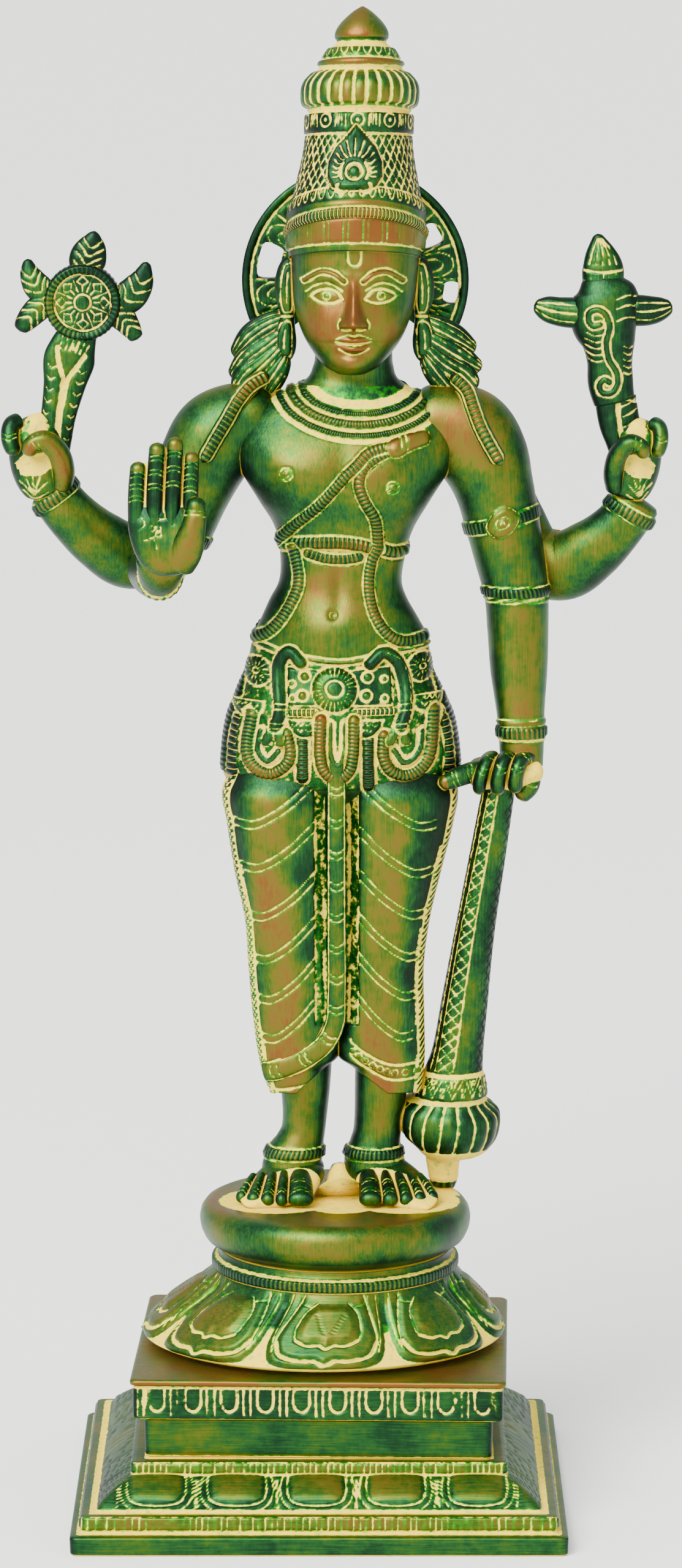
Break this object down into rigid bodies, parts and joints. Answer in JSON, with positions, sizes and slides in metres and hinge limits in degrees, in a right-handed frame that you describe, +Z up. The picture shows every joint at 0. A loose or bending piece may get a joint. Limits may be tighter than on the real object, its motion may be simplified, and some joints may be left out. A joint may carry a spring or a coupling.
{
  "type": "vishnu figure",
  "caption": "Standing four-armed deity in cast brass with discus, conch and mace, on a round disc over a lotus and a stepped rectangular plinth.",
  "frame": {"origin": "middle of the plinth's rectangular underside, at the level of the surface it stands on", "axes": "+Z up, -Y to the front where the figure looks, +X to the viewer's right (the figure's left)"},
  "size_m": [0.224, 0.154, 0.5081],
  "materials": {
    "figure_brass": "green and brown patina over cast brass, semi-gloss, with cream colour rubbed into the cuts",
    "plinth_brass": "green and bronze patina over cast brass, semi-gloss, with cream colour rubbed into the cuts"
  },
  "bodies": {
    "root": {"figure": "figure_brass", "plinth": "plinth_brass"}
  },
  "joints": []
}
